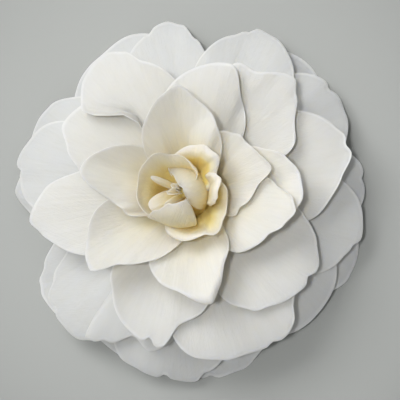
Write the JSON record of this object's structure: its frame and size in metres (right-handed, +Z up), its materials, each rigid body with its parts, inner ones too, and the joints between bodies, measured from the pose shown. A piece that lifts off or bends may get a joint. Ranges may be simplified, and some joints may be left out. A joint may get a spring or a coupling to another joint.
{
  "type": "camellia flower",
  "caption": "Fully double white camellia bloom as picked, lying face up: broad notched outer petals, cupped ivory inner petals and a cream half-open heart on a green calyx.",
  "frame": {"origin": "middle of the cut face under the calyx, on the surface that the bloom lies on", "axes": "+Z up, out of the face of the bloom; +Y towards the top of the picture, +X towards its right"},
  "size_m": [0.1135, 0.1151, 0.0434],
  "materials": {
    "sepal_green": "satin",
    "petal_white": "satin",
    "petal_milk": "satin",
    "petal_ivory": "satin",
    "petal_cream": "satin"
  },
  "bodies": {
    "root": {"calyx": "sepal_green", "outer_petals": "petal_white", "middle_petals": "petal_milk", "inner_petals": "petal_ivory", "heart": "petal_cream"}
  },
  "joints": []
}
